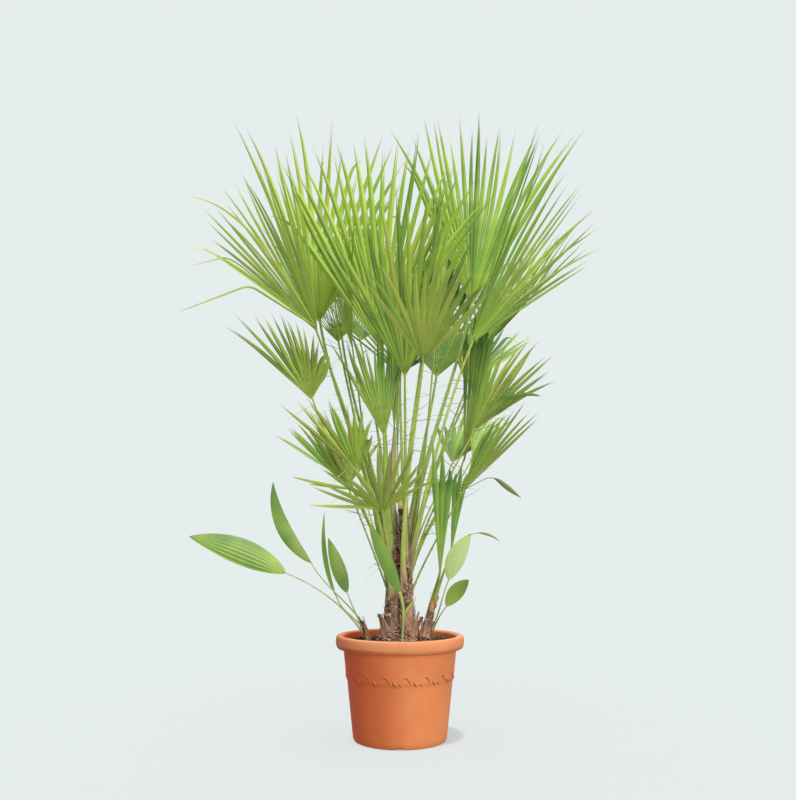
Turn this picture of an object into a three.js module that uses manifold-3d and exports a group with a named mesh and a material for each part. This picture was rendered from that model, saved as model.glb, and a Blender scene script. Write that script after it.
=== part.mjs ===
import * as THREE from "three";
import { mergeVertices } from "three/addons/utils/BufferGeometryUtils.js";
import Module from "manifold-3d";

// Potted European fan palm, in millimetres, +Z up, origin at the centre of the pot's flat underside.
// +X is to the right and -Y to the front.

// Driving dimensions
const gap = 0.3;
const potHeight = 245;
const rimRadius = 160;
const rimDepth = 31;
const footRadius = 113;
const wallThickness = 4;
const ledgeHeight = 160;
const ledgeStep = 3.4;
const wallSlope = 0.116;
const potSides = 36;
const notchWidth = 20;
const notchHeight = 4;
const notchDepth = 9;
const soilHeight = 228;
const stemSides = 10;
const stubLength = 34;
const stubStand = 11;
const stubFirst = 14;
const stubHalf = [10, 3];
const stubDepth = [6, 1.5];
const taperPower = 0.8;
const splitShare = 0.34;
const shoulderShare = 0.42;
const shoulderWidth = 0.78;
const thicknessShare = 0.0105;
const leastThickness = 2.6;
const pleatShare = 0.3;
const leastDroop = 0.02;
const shorterAtEdge = 0.16;
const unevenTips = 0.08;
const shorterShares = [1, 0.82, 0.64, 0.46, 0.28];
const stalkSteps = 5;
const stalkLean = 0.22;
const stalkRise = 0.36;
const stalkArrive = 0.3;
const stalkFollow = 0.6;
const stalkWidth = 4;
const stalkWidthShare = 0.006;
const stalkTaper = [1.5, 0.8];
const ridgeHeight = 0.7;
const ribShare = 0.06;
const rootShare = 0.45;
const youngStalk = 3.6;
const youngRise = 0.35;
const youngThicknessShare = 0.006;
const leastYoungThickness = 1.4;
const goldenAngle = 137.5;
const flareFade = 26;

const wasm = await Module();
wasm.setup();

const colours = {
  pot: [0xc8693f, 0.62],
  soil: [0x3a2c22, 0.95],
  bark: [0x7a5a48, 0.95],
  leafBright: [0x86ad3a, 0.55],
  leafDeep: [0x5d8a3c, 0.55],
  leafOlive: [0x8fa046, 0.6],
  leafYoung: [0x6f9f4a, 0.5],
};

function materialFor(key) {
  const [color, roughness] = colours[key];
  return new THREE.MeshStandardMaterial({ color, roughness, metalness: 0 });
}

const palm = new THREE.Group();
palm.name = "potted_fan_palm";

const radians = THREE.MathUtils.degToRad;
const point = (x, y, z) => new THREE.Vector3(x, y, z);
const up = point(0, 0, 1);
const front = point(0, -1, 0);

function makeRandom(seed) {
  let state = seed >>> 0;
  return () => {
    state = (Math.imul(state, 1664525) + 1013904223) >>> 0;
    return state / 4294967296;
  };
}

// Solids
function solidFromFaces(points, faces) {
  const vertProperties = new Float32Array(points.length * 3);
  points.forEach((p, i) => p.toArray(vertProperties, i * 3));
  const triVerts = new Uint32Array(faces.flat());
  return new wasm.Manifold(new wasm.Mesh({ numProp: 3, vertProperties, triVerts }));
}

function solidFromGeometry(geometry) {
  const bare = geometry.index ? geometry.toNonIndexed() : geometry.clone();
  bare.deleteAttribute("normal");
  bare.deleteAttribute("uv");
  const merged = mergeVertices(bare, 1e-3);
  const vertProperties = new Float32Array(merged.attributes.position.array);
  const triVerts = new Uint32Array(merged.index.array);
  return new wasm.Manifold(new wasm.Mesh({ numProp: 3, vertProperties, triVerts }));
}

function geometryFromSolid(solid) {
  const mesh = solid.getMesh();
  const position = new Float32Array(mesh.numVert * 3);
  for (let i = 0; i < mesh.numVert; i += 1) {
    for (let k = 0; k < 3; k += 1) position[i * 3 + k] = mesh.vertProperties[i * mesh.numProp + k];
  }
  const geometry = new THREE.BufferGeometry();
  geometry.setAttribute("position", new THREE.BufferAttribute(position, 3));
  geometry.setIndex(new THREE.BufferAttribute(new Uint32Array(mesh.triVerts), 1));
  geometry.computeVertexNormals();
  return geometry;
}

function largestPiece(solid) {
  const pieces = solid.decompose();
  return pieces.reduce((best, piece) => (piece.volume() > best.volume() ? piece : best));
}

function addNode(name, solid, colourKey) {
  const mesh = new THREE.Mesh(geometryFromSolid(solid), materialFor(colourKey));
  mesh.name = name;
  palm.add(mesh);
}

// A closed skin over rings of points that have the same number of sides
function loftedSolid(rings) {
  const sides = rings[0].length;
  const faces = [];
  for (let i = 0; i < rings.length - 1; i += 1) {
    for (let k = 0; k < sides; k += 1) {
      const a = i * sides + k;
      const b = i * sides + ((k + 1) % sides);
      faces.push([a, a + sides, b], [b, a + sides, b + sides]);
    }
  }
  const last = (rings.length - 1) * sides;
  for (let k = 1; k < sides - 1; k += 1) {
    faces.push([0, k, k + 1], [last, last + k + 1, last + k]);
  }
  return solidFromFaces(rings.flat(), faces);
}

// A closed tube along a curve, with the section that sectionAt gives in the curve's own axes
function sweptSolid(curve, steps, facing, sectionAt) {
  const rings = Array.from({ length: steps + 1 }, (_, i) => {
    const t = i / steps;
    const centre = curve.getPoint(t);
    const forward = curve.getTangent(t);
    const across = forward.clone().cross(facing).normalize();
    const outward = across.clone().cross(forward).normalize();
    return sectionAt(t).map(([a, b]) =>
      centre.clone().addScaledVector(across, a).addScaledVector(outward, b),
    );
  });
  return loftedSolid(rings);
}

// Pot: a tapering wall with a ledge at its relief band, a rolled rim and four notches under its edge
function wallRadius(z) {
  return footRadius + 1 + wallSlope * z + (z > ledgeHeight ? ledgeStep : 0);
}

function potProfile() {
  const rimFoot = potHeight - rimDepth;
  const outer = [
    [0, 0],
    [footRadius - 4, 0],
    [footRadius, 2.5],
    [wallRadius(9), 9],
    [wallRadius(ledgeHeight - 2), ledgeHeight - 2],
    [wallRadius(ledgeHeight + 2), ledgeHeight + 2],
    [wallRadius(rimFoot), rimFoot],
    [rimRadius - 8, rimFoot - 1],
    [rimRadius - 2, rimFoot + 4],
    [rimRadius, rimFoot + 13],
    [rimRadius - 1, rimFoot + 22],
    [rimRadius - 6, potHeight - 2],
    [rimRadius - 12, potHeight],
    [rimRadius - 18, potHeight - 2.5],
  ];
  const inner = innerProfile().reverse();
  return [...outer, ...inner];
}

function innerProfile() {
  const lip = potHeight - 10;
  return [
    [0, wallThickness + 2],
    [wallRadius(8) - wallThickness, wallThickness + 2],
    [wallRadius(ledgeHeight - 4) - wallThickness, ledgeHeight - 4],
    [wallRadius(lip) - wallThickness, lip],
  ];
}

function lathe(profile) {
  const geometry = new THREE.LatheGeometry(
    profile.map(([r, z]) => new THREE.Vector2(r, z)),
    potSides,
  );
  geometry.rotateX(Math.PI / 2);
  return solidFromGeometry(geometry);
}

function potSolid() {
  let pot = lathe(potProfile());
  for (let i = 0; i < 4; i += 1) {
    const notch = new THREE.BoxGeometry(notchDepth * 2, notchWidth, notchHeight * 2);
    notch.translate(footRadius, 0, 0);
    notch.rotateZ((i * Math.PI) / 2);
    pot = pot.subtract(solidFromGeometry(notch));
  }
  return pot;
}

function soilSolid() {
  const bed = innerProfile().map(([r, z]) => [Math.max(0, r - gap * 1.2), z]);
  bed[0][1] += gap;
  bed[1][1] += gap;
  bed.pop();
  const edge = wallRadius(soilHeight) - wallThickness - gap * 1.2;
  return lathe([...bed, [edge, soilHeight], [0, soilHeight]]);
}

// Stems: each tapers from a flared flat cut on the soil to its top. The stubs of old leaf bases stand
// round it.
const stems = {
  left: {
    foot: [-20, 10],
    top: [-14, 12, 490],
    flare: 17,
    base: 25,
    end: 14,
    stubs: 17,
    stubTop: 150,
    seed: 5,
  },
  right: {
    foot: [27, -2],
    top: [16, 4, 556],
    flare: 14,
    base: 20,
    end: 12,
    stubs: 15,
    stubTop: 150,
    seed: 11,
  },
  offset: {
    foot: [74, -16],
    top: [95, -18, 322],
    flare: 8,
    base: 14,
    end: 8,
    stubs: 5,
    stubTop: 34,
    seed: 19,
  },
  sucker: {
    foot: [-86, 28],
    top: [-96, 26, 272],
    flare: 5,
    base: 9,
    end: 6,
    stubs: 0,
    stubTop: 0,
    seed: 23,
  },
};

const stemFoot = soilHeight + gap;

function stemCentre(stem, z) {
  const t = THREE.MathUtils.clamp((z - stemFoot) / (stem.top[2] - stemFoot), 0, 1);
  const x = THREE.MathUtils.lerp(stem.foot[0], stem.top[0], t);
  const y = THREE.MathUtils.lerp(stem.foot[1], stem.top[1], t);
  return point(x, y, z);
}

function stemRadius(stem, z) {
  const t = THREE.MathUtils.clamp((z - stemFoot) / (stem.top[2] - stemFoot), 0, 1);
  const taper = THREE.MathUtils.lerp(stem.base, stem.end, t ** taperPower);
  return taper + stem.flare * Math.exp((stemFoot - z) / flareFade);
}

// Level rings up the stem, each a little uneven, so that its foot is a flat cut
function stemShaft(stem, extra) {
  const steps = stem.stubs ? 7 : 2;
  const random = makeRandom(stem.seed);
  const rings = Array.from({ length: steps + 1 }, (_, i) => {
    const z = THREE.MathUtils.lerp(stemFoot, stem.top[2], (i / steps) ** 1.3);
    const centre = stemCentre(stem, z);
    return Array.from({ length: stemSides }, (unused, k) => {
      const angle = (-k * 2 * Math.PI) / stemSides;
      const r = stemRadius(stem, z) * (0.92 + 0.16 * random()) + extra;
      return centre.clone().add(point(r * Math.cos(angle), r * Math.sin(angle), 0));
    });
  });
  if (extra) {
    rings.at(-1).forEach((p) => p.addScaledVector(up, extra));
  }
  return loftedSolid(rings);
}

function leafBaseStub(stem, index) {
  const z = stemFoot + stubFirst + ((index + 0.5) / stem.stubs) * stem.stubTop;
  const angle = radians(index * goldenAngle + stem.seed * 10);
  const outward = point(Math.cos(angle), Math.sin(angle), 0);
  const root = stemCentre(stem, z).addScaledVector(outward, stemRadius(stem, z) * 0.6);
  const tip = stemCentre(stem, z + stubLength);
  tip.addScaledVector(outward, stemRadius(stem, z + stubLength) + stubStand);
  const curve = new THREE.LineCurve3(root, tip);
  return sweptSolid(curve, 1, outward, (t) => {
    const half = THREE.MathUtils.lerp(...stubHalf, t);
    const depth = THREE.MathUtils.lerp(...stubDepth, t);
    return [
      [-half, 0],
      [0, -depth],
      [half, 0],
      [0, depth],
    ];
  });
}

function stemSolid(stem) {
  let solid = stemShaft(stem, 0);
  for (let i = 0; i < stem.stubs; i += 1) solid = solid.add(leafBaseStub(stem, i));
  return solid;
}

// Fans: the stem each grows from, the height of its stalk's foot, the hub where the blade opens and the
// tip of its middle leaflet. turn turns the blade's face away from the front about its own axis, spread is
// the angle between its outer edges, swing moves the foot round the stem, ring sets how far out in the
// stem it starts, split is the undivided share of the blade and droop lets the leaflets hang.
const fans = [
  {
    name: "fan_front",
    stem: "right",
    foot: 392,
    hub: [55, -165, 908],
    tip: [83, -400, 1100],
    turn: 0,
    spread: 86,
    leaflets: 16,
    swing: -20,
    colour: "leafOlive",
  },
  {
    name: "fan_crown",
    stem: "left",
    foot: 486,
    hub: [-46, 55, 1140],
    tip: [-45, -100, 1535],
    turn: 4,
    spread: 92,
    leaflets: 18,
    swing: -50,
    ring: 0.5,
    colour: "leafBright",
  },
  {
    name: "fan_left_side",
    stem: "left",
    foot: 440,
    hub: [-218, -60, 1022],
    tip: [-474, -130, 1394],
    turn: -38,
    spread: 56,
    leaflets: 15,
    colour: "leafBright",
  },
  {
    name: "fan_right_side",
    stem: "right",
    foot: 455,
    hub: [191, -20, 992],
    tip: [533, -80, 1342],
    turn: 40,
    spread: 60,
    leaflets: 16,
    droop: 0.05,
    colour: "leafBright",
  },
  {
    name: "fan_left_high",
    stem: "left",
    foot: 452,
    hub: [-230, 100, 1082],
    tip: [-311, 60, 1692],
    turn: 20,
    spread: 44,
    leaflets: 13,
    colour: "leafBright",
  },
  {
    name: "fan_right_high",
    stem: "right",
    foot: 520,
    hub: [202, 140, 1141],
    tip: [322, 110, 1731],
    turn: 22,
    spread: 54,
    leaflets: 14,
    colour: "leafBright",
  },
  {
    name: "fan_left_mid",
    stem: "left",
    foot: 415,
    hub: [-221, -120, 828],
    tip: [-355, -210, 1047],
    turn: -40,
    spread: 66,
    leaflets: 13,
    colour: "leafOlive",
  },
  {
    name: "fan_right_mid",
    stem: "right",
    foot: 432,
    hub: [186, -110, 754],
    tip: [326, -190, 975],
    turn: 38,
    spread: 62,
    leaflets: 13,
    colour: "leafOlive",
  },
  {
    name: "fan_right_low",
    stem: "right",
    foot: 396,
    hub: [160, -60, 600],
    tip: [325, -130, 794],
    turn: 45,
    spread: 50,
    leaflets: 10,
    colour: "leafDeep",
  },
  {
    name: "fan_low_front",
    stem: "left",
    foot: 382,
    hub: [-43, -130, 545],
    tip: [-74, -300, 656],
    turn: 8,
    spread: 140,
    leaflets: 15,
    colour: "leafOlive",
  },
  {
    name: "fan_low_left",
    stem: "left",
    foot: 385,
    hub: [-142, -30, 602],
    tip: [-305, -80, 746],
    turn: -30,
    spread: 50,
    leaflets: 10,
    colour: "leafDeep",
  },
  {
    name: "fan_low_left_up",
    stem: "left",
    foot: 400,
    hub: [-102, -80, 673],
    tip: [-242, -160, 824],
    turn: 20,
    spread: 96,
    leaflets: 13,
    colour: "leafOlive",
  },
  {
    name: "fan_half_open",
    stem: "right",
    foot: 436,
    hub: [169, 30, 683],
    tip: [248, 40, 1160],
    turn: -55,
    spread: 36,
    leaflets: 8,
    colour: "leafDeep",
  },
  {
    name: "fan_core",
    stem: "right",
    foot: 474,
    hub: [13, -50, 901],
    tip: [-5, -215, 1335],
    turn: -20,
    spread: 90,
    leaflets: 16,
    colour: "leafDeep",
  },
  {
    name: "fan_core_right",
    stem: "right",
    foot: 500,
    hub: [107, 170, 948],
    tip: [162, 185, 1432],
    turn: -12,
    spread: 90,
    leaflets: 16,
    colour: "leafDeep",
  },
  {
    name: "fan_core_left",
    stem: "left",
    foot: 436,
    hub: [-169, 160, 1060],
    tip: [-150, 175, 1530],
    turn: 12,
    spread: 90,
    leaflets: 16,
    swing: -15,
    colour: "leafDeep",
  },
  {
    name: "fan_young_left",
    stem: "left",
    foot: 474,
    hub: [-36, -10, 733],
    tip: [-122, -30, 1091],
    turn: 10,
    spread: 40,
    leaflets: 10,
    colour: "leafBright",
  },
  {
    name: "fan_right_low_back",
    stem: "right",
    foot: 410,
    hub: [194, 120, 694],
    tip: [290, 190, 850],
    turn: 20,
    spread: 90,
    leaflets: 11,
    colour: "leafDeep",
  },
  {
    name: "fan_back_left",
    stem: "left",
    foot: 472,
    hub: [-120, 270, 1080],
    tip: [-270, 450, 1490],
    turn: 58,
    spread: 104,
    leaflets: 17,
    colour: "leafBright",
  },
  {
    name: "fan_back_mid",
    stem: "right",
    foot: 530,
    hub: [75, 240, 1110],
    tip: [70, 450, 1550],
    turn: -5,
    spread: 104,
    leaflets: 17,
    swing: 15,
    colour: "leafBright",
  },
  {
    name: "fan_back_right",
    stem: "right",
    foot: 462,
    hub: [270, 200, 1060],
    tip: [410, 360, 1480],
    turn: -58,
    spread: 104,
    leaflets: 17,
    colour: "leafBright",
  },
  {
    name: "fan_back_low_left",
    stem: "left",
    foot: 425,
    hub: [-152, 190, 899],
    tip: [-269, 340, 1189],
    turn: 20,
    spread: 66,
    leaflets: 12,
    swing: 45,
    colour: "leafDeep",
  },
  {
    name: "fan_back_low_mid",
    stem: "right",
    foot: 440,
    hub: [1, 210, 850],
    tip: [18, 430, 1150],
    turn: 0,
    spread: 100,
    leaflets: 15,
    colour: "leafDeep",
  },
  {
    name: "fan_back_low_right",
    stem: "right",
    foot: 430,
    hub: [162, 180, 888],
    tip: [292, 360, 1181],
    turn: -15,
    spread: 62,
    leaflets: 12,
    colour: "leafDeep",
  },
  {
    name: "fan_back_foot_left",
    stem: "left",
    foot: 395,
    hub: [-140, 140, 640],
    tip: [-280, 290, 830],
    turn: 40,
    spread: 100,
    leaflets: 13,
    colour: "leafDeep",
  },
  {
    name: "fan_inner_right",
    stem: "right",
    foot: 486,
    hub: [99, 45, 1021],
    tip: [135, 55, 1493],
    turn: 78,
    spread: 82,
    leaflets: 14,
    swing: -15,
    colour: "leafBright",
  },
  {
    name: "fan_inner_left",
    stem: "left",
    foot: 386,
    hub: [-131, 50, 1002],
    tip: [-198, 40, 1461],
    turn: -75,
    spread: 70,
    leaflets: 13,
    swing: 24,
    colour: "leafBright",
  },
  {
    name: "fan_back_foot_right",
    stem: "right",
    foot: 404,
    hub: [112, 150, 711],
    tip: [235, 300, 923],
    turn: -45,
    spread: 96,
    leaflets: 12,
    swing: 15,
    colour: "leafDeep",
  },
  {
    name: "fan_offset_broad",
    stem: "offset",
    foot: 312,
    hub: [96, -80, 468],
    tip: [86, -105, 755],
    turn: 0,
    spread: 24,
    leaflets: 7,
    split: 0.74,
    colour: "leafBright",
  },
  {
    name: "fan_offset_narrow",
    stem: "offset",
    foot: 300,
    hub: [127, 0, 447],
    tip: [152, 0, 687],
    turn: 10,
    spread: 14,
    leaflets: 4,
    split: 0.7,
    colour: "leafDeep",
  },
  {
    name: "spear_left",
    stem: "left",
    foot: 488,
    hub: [-36, 14, 631],
    tip: [-48, 14, 1150],
    turn: 0,
    spread: 5,
    leaflets: 3,
    split: 0.7,
    ring: 0.3,
    swing: 30,
    colour: "leafBright",
  },
  {
    name: "spear_right",
    stem: "right",
    foot: 548,
    hub: [-7, 30, 666],
    tip: [-2, 40, 1127],
    turn: 20,
    spread: 4,
    leaflets: 3,
    split: 0.7,
    colour: "leafBright",
  },
];

// Young undivided leaves: foot is where the stalk starts, base and tip are the ends of the blade
const youngLeaves = [
  {
    name: "leaf_left_low",
    stem: "sucker",
    foot: [-90, 26, 240],
    base: [-280, -60, 397],
    tip: [-514, -90, 486],
    width: 66,
    turn: 20,
    bow: 26,
  },
  {
    name: "leaf_left_tall",
    stem: "sucker",
    foot: [-93, 28, 268],
    base: [-225, 0, 420],
    tip: [-329, 10, 625],
    width: 42,
    turn: 10,
    bow: -16,
  },
  {
    name: "leaf_left_edge",
    stem: "sucker",
    foot: [-92, 24, 256],
    base: [-152, 20, 332],
    tip: [-196, 40, 549],
    width: 40,
    turn: 66,
    bow: -14,
  },
  {
    name: "leaf_left_inner",
    stem: "sucker",
    foot: [-90, 32, 248],
    base: [-137, 70, 342],
    tip: [-192, 110, 483],
    width: 38,
    turn: 0,
    bow: -8,
  },
  {
    name: "leaf_front",
    stem: "",
    foot: [7, -72, 228.3],
    base: [-2, -90, 346],
    tip: [-75, -120, 519],
    width: 44,
    turn: 20,
    bow: 8,
  },
  {
    name: "leaf_right_pale",
    stem: "offset",
    foot: [78, -22, 262],
    base: [126, -50, 383],
    tip: [181, -66, 489],
    width: 58,
    turn: -10,
    bow: 4,
  },
  {
    name: "leaf_right_small",
    stem: "offset",
    foot: [76, -22, 246],
    base: [112, -70, 316],
    tip: [165, -90, 362],
    width: 34,
    turn: 10,
    bow: 6,
  },
];

// The blade's own axes: along its middle leaflet, across it and out of its face
function bladeFrame(fan) {
  const hub = point(...fan.hub);
  const along = point(...fan.tip).sub(hub);
  const reach = along.length();
  along.normalize();
  const face = front.clone().addScaledVector(along, -front.dot(along)).normalize();
  face.applyAxisAngle(along, radians(fan.turn));
  const across = along.clone().cross(face);
  return { hub, along, across, face, reach };
}

function fanLeaflets(fan) {
  const { hub, along, across, face, reach } = bladeFrame(fan);
  const random = makeRandom(fan.leaflets * 97 + Math.round(reach));
  const half = radians(fan.spread / 2);
  const split = reach * (fan.split ?? splitShare);
  const thickness = Math.max(leastThickness, reach * thicknessShare);
  const pitch = (2 * half) / fan.leaflets;
  const pleat = split * pitch * pleatShare;
  const droop = fan.droop ?? leastDroop;
  const spot = (angle, radius, lift) => {
    const free = Math.max(0, (radius - split) / (reach - split));
    const p = hub.clone();
    p.addScaledVector(along, Math.cos(angle) * radius);
    p.addScaledVector(across, Math.sin(angle) * radius);
    p.addScaledVector(face, lift);
    return p.addScaledVector(up, -droop * reach * free * free);
  };
  const leaflets = Array.from({ length: fan.leaflets }, (_, i) => {
    const middle = -half + (i + 0.5) * pitch;
    const length = reach * (1 - shorterAtEdge * (middle / half) ** 2 - unevenTips * random());
    return { left: middle - pitch / 2, right: middle + pitch / 2, middle, length };
  });
  return { spot, leaflets, split, pleat, thickness };
}

// A pleated blade with its outline cut to the rib between the leaflets. Each leaflet is folded along its rib.
// With only, it is the wedge of that one leaflet.
function bladeSolid(fan, lengths, only) {
  const { spot, leaflets: every, split, pleat, thickness } = fanLeaflets(fan);
  const leaflets = only === undefined ? every : [every[only]];
  const points = [spot(0, 0, 0), spot(0, 0, -thickness)];
  const faces = [];
  const add = (p) => points.push(p) - 1;
  const margins = [...leaflets.map((leaf) => leaf.left), leaflets.at(-1).right].map((angle) => ({
    top: add(spot(angle, split, 0)),
    bottom: add(spot(angle, split, -thickness)),
  }));
  const [hubTop, hubBottom] = [0, 1];
  leaflets.forEach((leaf, i) => {
    const a = margins[i];
    const b = margins[i + 1];
    const ridgeTop = add(spot(leaf.middle, split, pleat));
    const ridgeBottom = add(spot(leaf.middle, split, pleat - thickness));
    faces.push([hubTop, ridgeTop, a.top], [hubTop, b.top, ridgeTop]);
    faces.push([hubBottom, a.bottom, ridgeBottom], [hubBottom, ridgeBottom, b.bottom]);
    const length = lengths[i];
    if (length <= split) {
      faces.push([a.top, ridgeTop, ridgeBottom], [a.top, ridgeBottom, a.bottom]);
      faces.push([ridgeTop, b.top, ridgeBottom], [b.top, b.bottom, ridgeBottom]);
      return;
    }
    const shoulder = split + (length - split) * shoulderShare;
    const lean = ((leaf.right - leaf.left) / 2) * (split / shoulder) * shoulderWidth;
    const edgeA = add(spot(leaf.middle - lean, shoulder, -thickness / 2));
    const edgeB = add(spot(leaf.middle + lean, shoulder, -thickness / 2));
    const midTop = add(spot(leaf.middle, shoulder, pleat * ridgeHeight));
    const midBottom = add(spot(leaf.middle, shoulder, pleat * ridgeHeight - thickness * 0.85));
    const tip = add(spot(leaf.middle, length, 0));
    faces.push([a.top, ridgeTop, midTop], [a.top, midTop, edgeA]);
    faces.push([ridgeTop, b.top, edgeB], [ridgeTop, edgeB, midTop]);
    faces.push([a.bottom, midBottom, ridgeBottom], [a.bottom, edgeA, midBottom]);
    faces.push([ridgeBottom, edgeB, b.bottom], [ridgeBottom, midBottom, edgeB]);
    faces.push([a.top, edgeA, a.bottom], [b.top, b.bottom, edgeB]);
    faces.push([edgeA, midTop, tip], [midTop, edgeB, tip]);
    faces.push([edgeA, tip, midBottom], [midBottom, tip, edgeB]);
  });
  const first = margins[0];
  const last = margins.at(-1);
  faces.push([hubTop, first.top, first.bottom], [hubTop, first.bottom, hubBottom]);
  faces.push([hubTop, hubBottom, last.bottom], [hubTop, last.bottom, last.top]);
  return solidFromFaces(points, faces);
}

// A stalk rises from its stem's side, bows out and runs a little way into the blade as its rib
function stalkCurve(fan) {
  const stem = stems[fan.stem];
  const { hub, along, reach } = bladeFrame(fan);
  const centre = stemCentre(stem, fan.foot);
  const outward = hub.clone().sub(centre).setZ(0).normalize();
  outward.applyAxisAngle(up, radians(fan.swing ?? 0));
  const start = centre.addScaledVector(outward, stemRadius(stem, fan.foot) * (fan.ring ?? rootShare));
  const end = hub.clone().addScaledVector(along, reach * ribShare);
  const span = start.distanceTo(end);
  const rise = up.clone().addScaledVector(outward, stalkLean).normalize();
  const arrive = end.clone().sub(start).normalize().addScaledVector(along, stalkFollow).normalize();
  return new THREE.CubicBezierCurve3(
    start,
    start.clone().addScaledVector(rise, span * stalkRise),
    end.clone().addScaledVector(arrive, -span * stalkArrive),
    end,
  );
}

function stalkSolid(fan) {
  const { face, reach } = bladeFrame(fan);
  const wide = stalkWidth + reach * stalkWidthShare;
  return sweptSolid(stalkCurve(fan), stalkSteps, face, (t) => {
    const half = (wide / 2) * THREE.MathUtils.lerp(...stalkTaper, t);
    return [
      [-half, 0],
      [0, -half * 0.8],
      [half, 0],
      [0, half * 0.5],
    ];
  });
}

// The blade of a young leaf is widest near its middle and has a low rib
function youngLeafSolid(leaf) {
  const base = point(...leaf.base);
  const tip = point(...leaf.tip);
  const along = tip.clone().sub(base);
  const reach = along.length();
  along.normalize();
  const face = front.clone().addScaledVector(along, -front.dot(along)).normalize();
  face.applyAxisAngle(along, radians(leaf.turn));
  const bend = base.clone().add(tip).multiplyScalar(0.5).addScaledVector(up, leaf.bow);
  const blade = sweptSolid(new THREE.QuadraticBezierCurve3(base, bend, tip), 8, face, (t) => {
    const half = Math.max(1.2, (leaf.width / 2) * Math.sin(Math.PI * t ** 0.85) ** 0.8);
    const thick = Math.max(leastYoungThickness, reach * youngThicknessShare);
    return [
      [-half, 0],
      [0, -thick],
      [half, 0],
      [0, thick],
    ];
  });
  const foot = point(...leaf.foot);
  const span = foot.distanceTo(base);
  const lean = base.clone().sub(foot).setZ(0).normalize();
  const rise = up.clone().addScaledVector(lean, leaf.stem ? 0.7 : 0.05).normalize();
  const stalk = new THREE.CubicBezierCurve3(
    foot,
    foot.clone().addScaledVector(rise, span * youngRise),
    base.clone().addScaledVector(along, -span * stalkArrive),
    base.clone().addScaledVector(along, 8),
  );
  const half = youngStalk / 2;
  const section = [
    [-half, 0],
    [0, -half],
    [half, 0],
    [0, half],
  ];
  return blade.add(sweptSolid(stalk, stalkSteps, face, () => section));
}

// What stands already, so that each later leaflet is shortened until it is clear of it
const placed = [];

function touchesPlaced(solid) {
  const box = solid.boundingBox();
  return placed.some(({ solid: other, box: otherBox }) => {
    for (let k = 0; k < 3; k += 1) {
      if (box.min[k] > otherBox.max[k] || otherBox.min[k] > box.max[k]) return false;
    }
    return solid.intersect(other).volume() > 0;
  });
}

function place(name, solid, colourKey) {
  placed.push({ name, solid, box: solid.boundingBox() });
  addNode(name, solid, colourKey);
}

function clearLengths(fan) {
  const { leaflets, split } = fanLeaflets(fan);
  return leaflets.map((leaf, i) => {
    const free = leaf.length - split;
    const tries = shorterShares.map((share) => split + free * share);
    const wedge = (length) => bladeSolid(fan, leaflets.map(() => length), i);
    return tries.find((length) => !touchesPlaced(wedge(length))) ?? split;
  });
}

place("pot", potSolid(), "pot");
place("soil", soilSolid(), "soil");
const stemPair = stemSolid(stems.left).add(stemSolid(stems.right));
const clearOfPair = stemShaft(stems.left, gap).add(stemShaft(stems.right, gap));
place("stem_pair", stemPair, "bark");
place("stem_offset", largestPiece(stemSolid(stems.offset).subtract(clearOfPair)), "bark");
place("stem_sucker", stemSolid(stems.sucker), "bark");
const clearOfStems = clearOfPair.add(stemShaft(stems.offset, gap)).add(stemShaft(stems.sucker, gap));
for (const leaf of youngLeaves) {
  place(leaf.name, largestPiece(youngLeafSolid(leaf).subtract(clearOfStems)), "leafYoung");
}
for (const fan of fans) {
  const whole = bladeSolid(fan, clearLengths(fan)).add(stalkSolid(fan));
  place(fan.name, largestPiece(whole.subtract(clearOfStems)), fan.colour);
}

export default palm;
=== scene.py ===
import random
from math import copysign, cos, degrees, exp, pi, radians, sin, sqrt, tan, tau

import bpy
from mathutils import Matrix, Vector, noise


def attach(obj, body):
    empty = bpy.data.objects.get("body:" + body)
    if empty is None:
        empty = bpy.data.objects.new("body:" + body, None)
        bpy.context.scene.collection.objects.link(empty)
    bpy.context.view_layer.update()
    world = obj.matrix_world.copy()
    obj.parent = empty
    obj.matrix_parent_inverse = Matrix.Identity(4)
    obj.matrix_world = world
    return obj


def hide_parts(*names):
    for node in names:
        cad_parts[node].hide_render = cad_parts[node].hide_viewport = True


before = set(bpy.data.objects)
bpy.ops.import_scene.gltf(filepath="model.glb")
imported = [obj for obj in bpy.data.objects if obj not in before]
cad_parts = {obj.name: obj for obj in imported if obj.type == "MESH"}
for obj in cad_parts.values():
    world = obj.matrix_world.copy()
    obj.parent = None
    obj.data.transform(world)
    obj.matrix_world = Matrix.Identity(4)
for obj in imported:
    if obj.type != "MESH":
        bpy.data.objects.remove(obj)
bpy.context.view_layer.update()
print("frame loaded")

mm = 0.001
up = Vector((0, 0, 1))
front = Vector((0, -1, 0))
goldenAngle = 137.5


def place(point):
    return Vector(point) * mm


def aroundPot(radius, angle, z):
    # a point so far from the pot's axis, turned from its front
    return place((radius * sin(angle), -radius * cos(angle), z))


def mix(a, b, t):
    return a + (b - a) * t


def clamp(value, low=0, high=1):
    return max(low, min(high, value))


def shares(count):
    return [i / count for i in range(count + 1)]


def turns(count):
    return [k * tau / count for k in range(count)]


def tapered(radius, loss, count):
    return [radius * (1 - loss * t) for t in shares(count)]


# Mesh store: points, faces and the material of each face, turned into one object at the end
def newStore():
    return {"points": [], "faces": [], "slots": [], "uvs": []}


def addGrid(store, rows, slot=0, closed=False, uvAt=None):
    # rows hold the same number of points each; slot is a number or a function of the row
    base = len(store["points"])
    wide = len(rows[0])
    for j, row in enumerate(rows):
        for k, point in enumerate(row):
            store["points"].append(point)
            store["uvs"].append(uvAt(j, k) if uvAt else (k / max(1, wide - 1), j / max(1, len(rows) - 1)))
    around = wide if closed else wide - 1
    for j in range(len(rows) - 1):
        rowSlot = slot(j) if callable(slot) else slot
        for k in range(around):
            a = base + j * wide + k
            b = base + j * wide + (k + 1) % wide
            store["faces"].append((a, b, b + wide, a + wide))
            store["slots"].append(rowSlot)
    return base


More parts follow.
